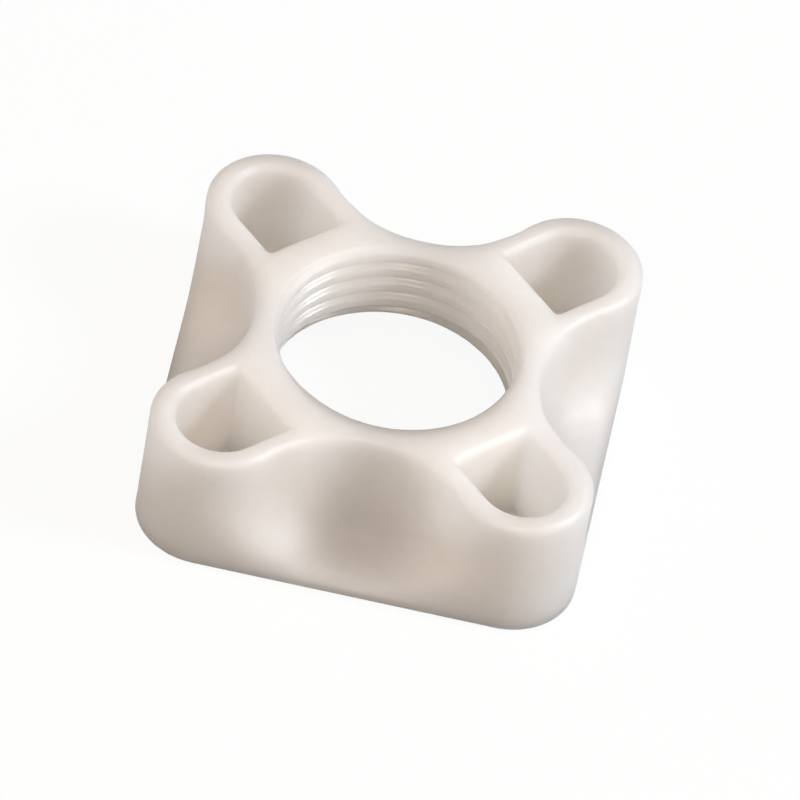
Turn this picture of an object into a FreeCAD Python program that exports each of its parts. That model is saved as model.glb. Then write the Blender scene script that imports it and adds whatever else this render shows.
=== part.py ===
import FreeCAD
import Part
import os
from math import hypot, sqrt
from FreeCAD import Vector

# Toilet handle nut, one moulded piece, lying on its base with the bore along +Z.
# Sizes in millimetres, measured from the middle of the base.

side = 33.3             # across the square base
height = 11.1           # base to the flat top
flange = 1.6            # base plate left under each scallop
corner_radius = 5.2     # base corners and lug tips, in plan
waist = 10.95           # bore axis to the middle of a scallop's wall
cove_radius = 4.8       # scallop wall down into the base plate

bore_diameter = 17.9    # inner diameter of the thread
relief_mouth = 27.4     # widest diameter of the cone under the thread
relief_depth = 4.5      # base up to the thread's lower end

lug_wall = 1.9          # wall round a pocket's outer end and sides
pocket_reach = 12.2     # bore axis to a pocket's flat inner end
pocket_floor = 2.4      # material left under a pocket

lead_in = 0.3           # bevel at the top of the bore
pocket_bevel = 0.5      # bevel at the top of a pocket
outline_bevel = 0.45    # bevel round the top, along lugs and scallops
base_bevel = 0.35       # bevel round the underside

bevel_share = 0.45      # most of a wall's thickness that one bevel may take
tolerance = 0.001       # two places closer than this are the same
lugs = 4

# Worked out from the sizes above

half_side = side / 2
bore_radius = bore_diameter / 2
relief_radius = relief_mouth / 2
quarter_turn = 360 / lugs
lug_centre = half_side - corner_radius
pocket_radius = corner_radius - lug_wall
pocket_end = lug_centre * sqrt(2)

# The scallop's circle touches the circles of both lug tips beside it.
step = waist - lug_centre
scallop_radius = (step ** 2 + lug_centre ** 2 - corner_radius ** 2) / (2 * (corner_radius - step))
scallop_centre = waist + scallop_radius

ring_wall = waist - bore_radius
neck_wall = scallop_centre / sqrt(2) - scallop_radius - pocket_radius
thickest_bevel = bevel_share * min(ring_wall, neck_wall, lug_wall)

axis = Vector(0, 0, 1)
origin = Vector(0, 0, 0)

def turned(shape, angle):
    copy = shape.copy()
    copy.rotate(origin, axis, angle)
    return copy

def around(shape, start=0):
    return [turned(shape, start + lug * quarter_turn) for lug in range(lugs)]

def arc(start, middle, end):
    return Part.Arc(Vector(*start), Vector(*middle), Vector(*end)).toShape()

def flat_at(edge, level):
    box = edge.BoundBox
    return abs(box.ZMin - level) < tolerance and abs(box.ZMax - level) < tolerance

def bevelled(body, size, edges):
    return body.makeChamfer(min(size, thickest_bevel), edges)

# Four round lugs joined by four scallops, seen from above
def scalloped_outline():
    reach = hypot(scallop_centre - lug_centre, lug_centre)
    far = lug_centre + corner_radius * (scallop_centre - lug_centre) / reach
    near = lug_centre - corner_radius * lug_centre / reach
    tip = lug_centre + corner_radius / sqrt(2)
    lug_arc = arc((far, near, 0), (tip, tip, 0), (near, far, 0))
    scallop_arc = arc((near, far, 0), (0, waist, 0), (-near, far, 0))
    edges = []
    for lug, scallop in zip(around(lug_arc), around(scallop_arc)):
        edges += [lug, scallop]
    return Part.Wire(edges)

# The lugs stand on a wide plate, coved all round, and the square base trims the plate.
def outer_body():
    upper = Part.Face(scalloped_outline()).extrude(axis * height)
    plate = Part.makeBox(2 * side, 2 * side, flange, Vector(-side, -side, 0))
    coved = plate.fuse(upper).removeSplitter()
    foot = [edge for edge in coved.Edges if flat_at(edge, flange) and isinstance(edge.Curve, Part.Circle)]
    coved = coved.makeFillet(cove_radius, foot)
    block = Part.makeBox(side, side, height, Vector(-half_side, -half_side, 0))
    uprights = [edge for edge in block.Edges if edge.BoundBox.ZLength > tolerance]
    block = block.makeFillet(corner_radius, uprights)
    body = coved.common(block).removeSplitter().Solids[0]
    body = bevelled(body, outline_bevel, [edge for edge in body.Edges if flat_at(edge, height)])
    return bevelled(body, base_bevel, [edge for edge in body.Edges if flat_at(edge, 0)])

# Plain bore at the thread's inner diameter, bevelled above and opening into a cone below
def bore_cutter():
    bevel = min(lead_in, bevel_share * ring_wall)
    profile = Part.makePolygon([
        Vector(0, 0, 0),
        Vector(relief_radius, 0, 0),
        Vector(bore_radius, 0, relief_depth),
        Vector(bore_radius, 0, height - bevel),
        Vector(bore_radius + bevel, 0, height),
        Vector(0, 0, height),
        Vector(0, 0, 0),
    ])
    return Part.Face(profile).revolve(origin, axis, 360)

# Slot along a lug, flat towards the bore and round towards the tip
def pocket_cutter():
    inner_right = Vector(pocket_reach, -pocket_radius, pocket_floor)
    outer_right = Vector(pocket_end, -pocket_radius, pocket_floor)
    outer_left = Vector(pocket_end, pocket_radius, pocket_floor)
    inner_left = Vector(pocket_reach, pocket_radius, pocket_floor)
    outline = Part.Wire([
        Part.makeLine(inner_right, outer_right),
        arc(outer_right, (pocket_end + pocket_radius, 0, pocket_floor), outer_left),
        Part.makeLine(outer_left, inner_left),
        Part.makeLine(inner_left, inner_right),
    ])
    return Part.Face(outline).extrude(axis * (height - pocket_floor))

# An edge round the mouth of a pocket runs within the pocket's own length and width.
def is_pocket_rim(edge):
    middle = edge.valueAt((edge.FirstParameter + edge.LastParameter) / 2)
    along = (abs(middle.x) + abs(middle.y)) / sqrt(2)
    across = abs(abs(middle.x) - abs(middle.y)) / sqrt(2)
    in_length = pocket_reach - tolerance < along < pocket_end + pocket_radius + tolerance
    return flat_at(edge, height) and in_length and across < pocket_radius + tolerance

nut = outer_body().cut([bore_cutter()] + around(pocket_cutter(), quarter_turn / 2)).Solids[0]
nut = bevelled(nut, pocket_bevel, [edge for edge in nut.Edges if is_pocket_rim(edge)]).Solids[0]

os.makedirs("parts", exist_ok=True)
nut.exportStep("parts/nut_body.step")
print("nut_body", nut.ShapeType, nut.isValid(), round(nut.Volume, 1), "mm3")
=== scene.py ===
import bpy
import math
import numpy as np
from mathutils import Matrix, Vector


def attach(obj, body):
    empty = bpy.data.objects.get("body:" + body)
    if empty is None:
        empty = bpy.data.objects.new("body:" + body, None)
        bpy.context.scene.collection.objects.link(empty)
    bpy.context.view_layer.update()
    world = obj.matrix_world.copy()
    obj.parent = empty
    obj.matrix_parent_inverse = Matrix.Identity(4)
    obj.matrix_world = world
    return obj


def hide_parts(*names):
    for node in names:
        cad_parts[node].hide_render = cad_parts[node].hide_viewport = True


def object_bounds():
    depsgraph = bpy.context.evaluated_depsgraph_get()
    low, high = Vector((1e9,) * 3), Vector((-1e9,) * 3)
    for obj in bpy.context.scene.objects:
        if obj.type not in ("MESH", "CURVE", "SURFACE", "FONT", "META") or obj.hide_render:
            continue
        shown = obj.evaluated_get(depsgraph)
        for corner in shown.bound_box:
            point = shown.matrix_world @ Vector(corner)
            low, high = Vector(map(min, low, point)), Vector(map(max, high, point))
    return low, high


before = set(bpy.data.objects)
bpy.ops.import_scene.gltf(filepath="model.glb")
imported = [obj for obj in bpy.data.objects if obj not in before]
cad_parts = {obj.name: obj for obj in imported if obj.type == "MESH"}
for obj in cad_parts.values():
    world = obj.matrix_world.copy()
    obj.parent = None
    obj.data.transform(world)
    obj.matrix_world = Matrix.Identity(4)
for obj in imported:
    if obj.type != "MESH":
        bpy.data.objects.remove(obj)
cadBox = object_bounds()
mm = 0.001
print("frame loaded, box", [[round(v / mm, 2) for v in corner] for corner in cadBox])


# sRGB hex to linear
def hexColour(text):
    channels = [int(text[i:i + 2], 16) / 255 for i in (1, 3, 5)]
    return [c / 12.92 if c <= 0.04045 else ((c + 0.055) / 1.055) ** 2.4 for c in channels] + [1]


# inputs go by name, or by number where a node has several of one name
def addNode(tree, kind, settings=None, inputs=None):
    node = tree.nodes.new(kind)
    for name, value in (settings or {}).items():
        setattr(node, name, value)
    for name, value in (inputs or {}).items():
        if isinstance(value, bpy.types.NodeSocket):
            tree.links.new(value, node.inputs[name])
        else:
            node.inputs[name].default_value = value
    return node


def applyModifier(piece, kind, settings):
    bpy.context.view_layer.objects.active = piece
    modifier = piece.modifiers.new(kind.lower(), kind)
    for name, value in settings.items():
        setattr(modifier, name, value)
    bpy.ops.object.modifier_apply(modifier=modifier.name)


# 1 for the rays that show the background: the camera's, and those in a gloss or through glass
def straightRays(tree):
    ray = addNode(tree, "ShaderNodeLightPath").outputs
    seen = ray["Is Camera Ray"]
    for kind in ("Is Glossy Ray", "Is Transmission Ray"):
        either = addNode(tree, "ShaderNodeMath", {"operation": "MAXIMUM"}, {0: seen, 1: ray[kind]})
        seen = either.outputs[0]
    return seen


# 0 up to low, 1 from high on, and a soft step between
def ease(value, low, high):
    share = min(max((value - low) / (high - low), 0), 1)
    return share * share * (3 - 2 * share)


# rises over the first two places and falls over the last two
def band(value, low, lowEnd, highStart, high):
    return ease(value, low, lowEnd) * (1 - ease(value, highStart, high))


# with no piece, nothing stays selected
def selectOnly(piece=None):
    bpy.ops.object.select_all(action="DESELECT")
    if piece:
        piece.select_set(True)
        bpy.context.view_layer.objects.active = piece


# clears the selection inside a mesh, so that code can select in it
def deselectMesh():
    bpy.ops.object.mode_set(mode="EDIT")
    bpy.ops.mesh.select_all(action="DESELECT")
    bpy.ops.object.mode_set(mode="OBJECT")


# camera, a long lens from in front and above, held a little crooked
view = {
    "azimuth": 2.5,             # degrees round from the front
    "elevation": 46.1,          # degrees above the floor
    "roll": 10.3,               # degrees, the right side hangs lower
    "distance": 1000,           # mm
    "pixelsPerMm": 13.42,       # at the middle of the nut
    "frameSide": 800,           # pixels
    "middleAt": (390.4, 389.7), # pixel where the nut's middle shows
    "sensor": 36,               # mm
    "clip": (10, 10000),        # mm, nearest and farthest seen
}

middle = (cadBox[0] + cadBox[1]) / 2
turn, lift, tip = (math.radians(view[k]) for k in ("azimuth", "elevation", "roll"))
back = Vector((math.sin(turn) * math.cos(lift), -math.cos(turn) * math.cos(lift), math.sin(lift)))
level = Vector((math.cos(turn), math.sin(turn), 0))
upright = back.cross(level)
camX = level * math.cos(tip) + upright * math.sin(tip)
camY = upright * math.cos(tip) - level * math.sin(tip)
offX, offY = ((view["frameSide"] / 2 - p) / view["pixelsPerMm"] * mm for p in view["middleAt"])
spot = middle + back * view["distance"] * mm + camX * offX - camY * offY

selectOnly()
bpy.ops.object.camera_add()
camera = bpy.context.object
camera.name = "camera"
camera.matrix_world = Matrix((
    (camX.x, camY.x, back.x, spot.x),
    (camX.y, camY.y, back.y, spot.y),
    (camX.z, camY.z, back.z, spot.z),
    (0, 0, 0, 1),
))
camera.data.sensor_width = view["sensor"]
camera.data.lens = view["sensor"] * view["pixelsPerMm"] * view["distance"] / view["frameSide"]
camera.data.clip_start, camera.data.clip_end = (limit * mm for limit in view["clip"])
bpy.context.scene.camera = camera
print("camera, lens", round(camera.data.lens, 1), "mm")


# thread, one groove that runs down the bore as a left-hand screw
thread = {
    "pitch": 1.5875,        # mm, sixteen turns to the inch
    "rootRadius": 9.52,     # mm, bottom of the groove
    "mouthRadius": 8.6,     # mm, just inside the bore's wall
    "rootWidth": 0.26,      # mm, flat at the bottom of the groove
    "flankAngle": 30,       # degrees
    "startHeight": 13.2,    # mm, above the top, so the groove runs out through the rim
    "turns": 7,
    "steps": 120,           # faces per turn
    "weld": 0.001,          # mm, points closer than this become one
}

selectOnly()
grooveDepth = thread["rootRadius"] - thread["mouthRadius"]
grooveMiddle = (thread["rootRadius"] + thread["mouthRadius"]) / 2
mouthWidth = thread["rootWidth"] + 2 * grooveDepth * math.tan(math.radians(thread["flankAngle"]))
bpy.ops.mesh.primitive_plane_add(
    size=1, rotation=(math.pi / 2, 0, 0),
    location=(grooveMiddle * mm, 0, thread["startHeight"] * mm))
groove = bpy.context.object
groove.name = "groove"
groove.scale = (grooveDepth * mm, mouthWidth * mm, 1)
bpy.ops.object.transform_apply(location=True, rotation=True, scale=True)

# the outer edge is drawn in to the root's width
deselectMesh()
for vertex in groove.data.vertices:
    vertex.select = vertex.co.x > grooveMiddle * mm
bpy.ops.object.mode_set(mode="EDIT")
bpy.ops.transform.resize(value=(1, 1, thread["rootWidth"] / mouthWidth))
bpy.ops.object.mode_set(mode="OBJECT")

applyModifier(groove, "SCREW", {
    "axis": "Z", "angle": 2 * math.pi, "screw_offset": -thread["pitch"] * mm,
    "iterations": thread["turns"], "steps": thread["steps"], "render_steps": thread["steps"],
})
bpy.ops.object.mode_set(mode="EDIT")
bpy.ops.mesh.select_all(action="SELECT")
bpy.ops.mesh.remove_doubles(threshold=thread["weld"] * mm)
bpy.ops.mesh.select_all(action="DESELECT")
bpy.ops.mesh.select_non_manifold()
bpy.ops.mesh.fill_holes(sides=4)    # its two open ends
bpy.ops.mesh.select_all(action="SELECT")
bpy.ops.mesh.normals_make_consistent(inside=False)
bpy.ops.object.mode_set(mode="OBJECT")
print("thread groove", len(groove.data.polygons), "faces")


# nut, the moulded body with its thread cut and every edge let down as a mould leaves it
nut = {
    "weld": 0.0005,         # mm, points closer than this become one
    "voxel": 0.15,          # mm, even mesh for the rounding
    "smoothing": 0.5,       # strength of one smoothing pass
    "edgeRounds": 7,        # passes all over
    "threadShare": 0.3,     # share of them that the thread gets, so its crests stay crisp
    "threadOut": (9.7, 10.5),               # mm from the axis, end of the thread's share
    "threadHeight": (10.2, 10.8),           # mm
    "rimSunk": (0.005, 0.014),              # mm that only a rim sinks in these passes
    "rimSpread": 4,                         # voxels that its polish runs out over
    "rimGain": 2,                           # makes up for what spreading takes from it
    "rimShare": 0.45,                       # polish of a rim, where the thread has 1
    "waistRounds": 120,     # more passes on the thin rim between two lugs
    "waistOut": (9.3, 10.2, 11.6, 13.0),    # mm from the axis, where the soft rim starts and ends
    "waistAlong": (4.6, 7.0),               # mm along the side, where the soft rim dies out
    "waistHeight": (8.2, 9.4),              # mm
    "coveRounds": 600,      # more passes where a scallop runs out into the side
    "coveOut": (12.4, 14.4),                # mm from the axis
    "coveAlong": (9.5, 12.5),               # mm along the side
    "coveHeight": (0.9, 1.7, 8.0, 9.6),     # mm
    "pocketFrom": 16.8,                     # mm, x and y added up, where a pocket starts
    "pocketWidth": 5.4,                     # mm, hollow that keeps its corners
    "pocketTo": 15.2,                       # mm from the axis
    "triangles": 190000,
}

body = bpy.data.objects.new("nut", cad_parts["nut_body"].data.copy())
bpy.context.scene.collection.objects.link(body)
selectOnly(body)
bpy.ops.object.mode_set(mode="EDIT")
bpy.ops.mesh.select_all(action="SELECT")
bpy.ops.mesh.remove_doubles(threshold=nut["weld"] * mm)
bpy.ops.object.mode_set(mode="OBJECT")
print("nut copied", len(body.data.polygons), "faces")

applyModifier(body, "BOOLEAN", {"operation": "DIFFERENCE", "object": groove, "solver": "EXACT"})
bpy.data.objects.remove(groove)
print("thread cut", len(body.data.polygons), "faces")

applyModifier(body, "REMESH", {
    "mode": "VOXEL", "voxel_size": nut["voxel"] * mm, "use_smooth_shade": True})
print("even mesh", len(body.data.polygons), "faces")

# how much of each smoothing a point takes, by its place in one eighth of the nut
edgeSoft = body.vertex_groups.new(name="edgeSoft")
waistSoft = body.vertex_groups.new(name="waistSoft")
coveSoft = body.vertex_groups.new(name="coveSoft")
polish, coved = [], []
for vertex in body.data.vertices:
    x, y, z = (abs(v) / mm for v in vertex.co)
    out, along = max(x, y), min(x, y)
    pastThread = max(ease(math.hypot(x, y), *nut["threadOut"]), ease(z, *nut["threadHeight"]))
    inThread = 1 - pastThread
    edgeSoft.add([vertex.index], 1 - (1 - nut["threadShare"]) * inThread, "REPLACE")
    polish.append(inThread)

    inWaist = band(out, *nut["waistOut"]) * (1 - ease(along, *nut["waistAlong"]))
    inWaist *= ease(z, *nut["waistHeight"])
    if inWaist > 0:
        waistSoft.add([vertex.index], inWaist, "REPLACE")

    inCove = ease(out, *nut["coveOut"]) * (1 - ease(along, *nut["coveAlong"]))
    inCove *= band(z, *nut["coveHeight"])
    inPocketLength = x + y > nut["pocketFrom"] and out < nut["pocketTo"]
    if inPocketLength and abs(x - y) < nut["pocketWidth"]:
        inCove = 0
    if inCove > 0:
        coveSoft.add([vertex.index], inCove, "REPLACE")
    coved.append(inCove)


def smoothNut(rounds, group):
    applyModifier(body, "SMOOTH", {
        "factor": nut["smoothing"], "iterations": rounds, "vertex_group": group})


starts = [vertex.co.copy() for vertex in body.data.vertices]
smoothNut(nut["edgeRounds"], "edgeSoft")
rims = np.zeros(len(starts))
for i, vertex in enumerate(body.data.vertices):
    sunk = (starts[i] - vertex.co).dot(vertex.normal) / mm
    rims[i] = ease(sunk, *nut["rimSunk"]) * (1 - coved[i])

# the polish of a rim runs out softly, each point takes the mean of its neighbours
ends = np.empty(2 * len(body.data.edges), dtype=np.int32)
body.data.edges.foreach_get("vertices", ends)
here = np.append(ends[0::2], ends[1::2])
there = np.append(ends[1::2], ends[0::2])
neighbours = np.bincount(here, minlength=len(rims))
for i in range(nut["rimSpread"]):
    rims = np.bincount(here, rims[there], len(rims)) / neighbours
polish = np.maximum(polish, nut["rimShare"] * np.minimum(nut["rimGain"] * rims, 1))
polishMap = body.data.attributes.new("polish", "FLOAT", "POINT")
polishMap.data.foreach_set("value", polish.astype(np.float32))

smoothNut(nut["waistRounds"], "waistSoft")
smoothNut(nut["coveRounds"], "coveSoft")
share = nut["triangles"] / (2 * len(body.data.polygons))
applyModifier(body, "DECIMATE", {"ratio": min(share, 1)})
body.vertex_groups.clear()
selectOnly(body)
bpy.ops.object.shade_smooth()
print("nut finished", len(body.data.polygons), "faces")


# natural nylon, injection moulded: off-white and slightly see-through, so light creeps
# past the edges and shade turns warm, with a satin skin that still glints along a rim
nylon = {
    "pale": "#FAF6F0",
    "warm": "#F6F1E8",
    "tintFrom": (0.36, 0.64),       # part of the noise that runs from warm to pale
    "cloud": (6.0, {"Detail": 3.0, "Roughness": 0.55}),  # mm, drift of colour in the melt
    "flow": (1.1, {"Detail": 2.0, "Distortion": 0.6}),   # mm, faint streaks
    "flowShare": 0.3,               # of the drift, the rest is cloud
    "grain": (0.22, {"Detail": 2.0}),  # mm, skin of the mould, drawn coarse enough to show
    "grainBump": (0.12, 0.05),      # strength, and height in mm
    "sink": (2.6, {"Detail": 1.0}),    # mm, slow waves where the plastic shrank
    "sinkBump": (0.15, 0.12),       # strength, and height in mm
    "depth": 12,                    # mm, how far light creeps
    "creep": (0.92, 0.96, 1.0),     # share of that for red, green and blue
    "ior": 1.53,
    "roughness": (0.46, 0.58),
    "roughFrom": (0.3, 0.7),        # part of the streaks that runs from the first to the second
    "polished": 0.3,                # roughness of the thread, and in part of the rims
}

material = bpy.data.materials.new("natural nylon, moulded")
material.use_nodes = True
tree = material.node_tree
tree.nodes.clear()
place = addNode(tree, "ShaderNodeTexCoord").outputs["Object"]
noise = {}
for name in ("cloud", "flow", "grain", "sink"):
    size, extras = nylon[name]
    pattern = addNode(tree, "ShaderNodeTexNoise", None, {
        "Vector": place, "Scale": 1 / (size * mm), **extras})
    noise[name] = pattern.outputs["Fac"]

drift = addNode(tree, "ShaderNodeMix", {"data_type": "FLOAT"}, {
    "Factor": nylon["flowShare"], "A": noise["cloud"], "B": noise["flow"]})
tint = addNode(tree, "ShaderNodeMapRange", None, {
    "Value": drift.outputs["Result"],
    "From Min": nylon["tintFrom"][0], "From Max": nylon["tintFrom"][1]})
colour = addNode(tree, "ShaderNodeMix", {"data_type": "RGBA"}, {
    "Factor": tint.outputs["Result"], 6: hexColour(nylon["warm"]), 7: hexColour(nylon["pale"])})

skin = addNode(tree, "ShaderNodeBump", None, {
    "Height": noise["grain"],
    "Strength": nylon["grainBump"][0], "Distance": nylon["grainBump"][1] * mm})
relief = addNode(tree, "ShaderNodeBump", None, {
    "Height": noise["sink"], "Normal": skin.outputs["Normal"],
    "Strength": nylon["sinkBump"][0], "Distance": nylon["sinkBump"][1] * mm})

satin = addNode(tree, "ShaderNodeMapRange", None, {
    "Value": noise["flow"],
    "From Min": nylon["roughFrom"][0], "From Max": nylon["roughFrom"][1],
    "To Min": nylon["roughness"][0], "To Max": nylon["roughness"][1]})
polished = addNode(tree, "ShaderNodeAttribute", {"attribute_name": "polish"})
finish = addNode(tree, "ShaderNodeMix", {"data_type": "FLOAT"}, {
    "Factor": polished.outputs["Fac"], "A": satin.outputs["Result"], "B": nylon["polished"]})

shader = addNode(tree, "ShaderNodeBsdfPrincipled", {"subsurface_method": "RANDOM_WALK"}, {
    "Base Color": colour.outputs[2], "Roughness": finish.outputs["Result"],
    "Normal": relief.outputs["Normal"], "IOR": nylon["ior"],
    "Subsurface Weight": 1.0, "Subsurface Scale": nylon["depth"] * mm,
    "Subsurface Radius": nylon["creep"]})
addNode(tree, "ShaderNodeOutputMaterial", None, {"Surface": shader.outputs["BSDF"]})

body.data.materials.clear()
body.data.materials.append(material)
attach(body, "root")
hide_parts("nut_body")
print("nylon laid on")


# floor, a pale sheet that sweeps up behind
sheet = {
    "side": 3000,           # mm
    "rise": 1500,           # mm
    "sweep": 700,           # mm, radius of the curve at the back
    "sweepFaces": 16,
    "shown": "#F4F2F0",     # as it looks
    "bounced": "#85827E",   # as it lights the nut, duller so that the base keeps its dark edge
    "seenWhite": 0.92,      # share of plain white that is seen, the rest carries the shadow
}

selectOnly()
bpy.ops.mesh.primitive_plane_add(size=sheet["side"] * mm)
floor = bpy.context.object
floor.name = "floor"


def atBack(edge):
    return all(floor.data.vertices[i].co.y > 0 for i in edge.vertices)


def atFloor(edge):
    return all(floor.data.vertices[i].co.z < sheet["rise"] / 2 * mm for i in edge.vertices)


deselectMesh()
for edge in floor.data.edges:
    edge.select = atBack(edge)
bpy.ops.object.mode_set(mode="EDIT")
bpy.ops.mesh.extrude_region_move(TRANSFORM_OT_translate={"value": (0, 0, sheet["rise"] * mm)})
bpy.ops.mesh.select_all(action="DESELECT")
bpy.ops.object.mode_set(mode="OBJECT")
for edge in floor.data.edges:
    edge.select = atBack(edge) and atFloor(edge)
bpy.ops.object.mode_set(mode="EDIT")
bpy.ops.mesh.bevel(offset=sheet["sweep"] * mm, segments=sheet["sweepFaces"])
bpy.ops.object.mode_set(mode="OBJECT")
bpy.ops.object.shade_smooth()

# matt paper: even, without gloss, and shown as white
paper = bpy.data.materials.new("matt paper")
paper.use_nodes = True
tree = paper.node_tree
tree.nodes.clear()
straight = straightRays(tree)
tone = addNode(tree, "ShaderNodeMix", {"data_type": "RGBA"}, {
    "Factor": straight, 6: hexColour(sheet["bounced"]), 7: hexColour(sheet["shown"])})
matt = addNode(tree, "ShaderNodeBsdfDiffuse", None, {"Color": tone.outputs[2]})
plain = addNode(tree, "ShaderNodeEmission", None, {"Strength": 1.0})
seen = addNode(tree, "ShaderNodeMath", {"operation": "MULTIPLY"}, {
    0: straight, 1: sheet["seenWhite"]})
both = addNode(tree, "ShaderNodeMixShader", None, {
    "Fac": seen.outputs[0], 1: matt.outputs[0], 2: plain.outputs[0]})
addNode(tree, "ShaderNodeOutputMaterial", None, {"Surface": both.outputs[0]})
floor.data.materials.append(paper)
print("floor laid")


# light: a cool softbox on the right, weaker warm ones in front, left and behind, and an even room
# azimuth in degrees round from the right, elevation in degrees, side in mm
lamps = {
    "key": {"azimuth": -3, "elevation": 38, "side": 120, "level": 0.73, "colour": "#ECF4FF"},
    "front": {"azimuth": -87, "elevation": 52, "side": 200, "level": 0.38, "colour": "#FFEADA"},
    "left": {"azimuth": 180, "elevation": 25, "side": 420, "level": 0.2, "colour": "#FFEADA"},
    "back": {"azimuth": 90, "elevation": 40, "side": 500, "level": 0.1, "colour": "#FFF8F0"},
}
room = {"colour": "#FFF4EA", "level": 0.29, "lampDistance": 600}   # mm

reach = room["lampDistance"] * mm
for name, lamp in lamps.items():
    selectOnly()
    swing, up = math.radians(lamp["azimuth"]), math.radians(lamp["elevation"])
    aim = Vector((math.cos(swing) * math.cos(up), math.sin(swing) * math.cos(up), math.sin(up)))
    bpy.ops.object.light_add(type="AREA", location=middle + aim * reach)
    light = bpy.context.object
    light.name = name
    light.rotation_euler = aim.to_track_quat("Z", "Y").to_euler()
    light.data.shape = "SQUARE"
    light.data.size = lamp["side"] * mm
    # level is the brightness of a white surface that faces the lamp
    light.data.energy = lamp["level"] * (math.pi * reach) ** 2
    light.data.color = hexColour(lamp["colour"])[:3]

world = bpy.data.worlds.new("room")
bpy.context.scene.world = world
world.use_nodes = True
tree = world.node_tree
tree.nodes.clear()
soft = addNode(tree, "ShaderNodeBackground", None, {
    "Color": hexColour(room["colour"]), "Strength": room["level"]})
white = addNode(tree, "ShaderNodeBackground", None, {
    "Color": hexColour("#FFFFFF"), "Strength": 1.0})
both = addNode(tree, "ShaderNodeMixShader", None, {
    "Fac": straightRays(tree), 1: soft.outputs[0], 2: white.outputs[0]})
addNode(tree, "ShaderNodeOutputWorld", None, {"Surface": both.outputs[0]})
bpy.context.scene.view_settings.view_transform = "Standard"
print("lit")
